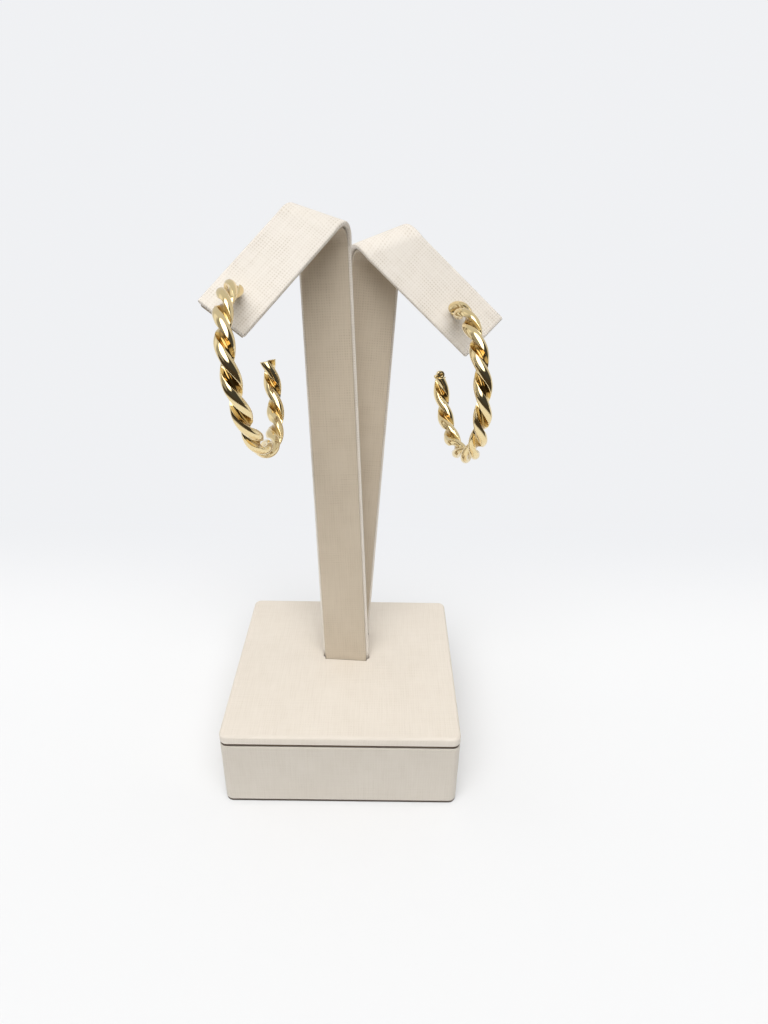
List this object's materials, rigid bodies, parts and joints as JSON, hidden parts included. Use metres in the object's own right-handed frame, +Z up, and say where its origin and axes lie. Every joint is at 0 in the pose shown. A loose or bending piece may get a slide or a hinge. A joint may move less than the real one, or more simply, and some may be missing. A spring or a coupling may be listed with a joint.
{
  "type": "pair of hoop earrings on display stand",
  "caption": "Open twisted hoop earrings with ear posts, hung through the sloping ends of a leatherette display stand with a square foot.",
  "frame": {"origin": "centre of the foot's underside, on the surface that the stand rests on", "axes": "+Z up, -Y to the front of the stand, +X to the right as seen from the front"},
  "size_m": [0.0732, 0.0668, 0.1484],
  "materials": {
    "leatherette": "cream leatherette with a fine woven grain",
    "lining": "cream leatherette with a fine woven grain",
    "gold": "polished yellow gold"
  },
  "bodies": {
    "root": {"base_box": "leatherette", "base_top": "leatherette", "arm_left": "leatherette", "arm_left_lining": "lining", "arm_right": "leatherette", "arm_right_lining": "lining", "hoop_left": "gold", "hoop_right": "gold"}
  },
  "joints": []
}
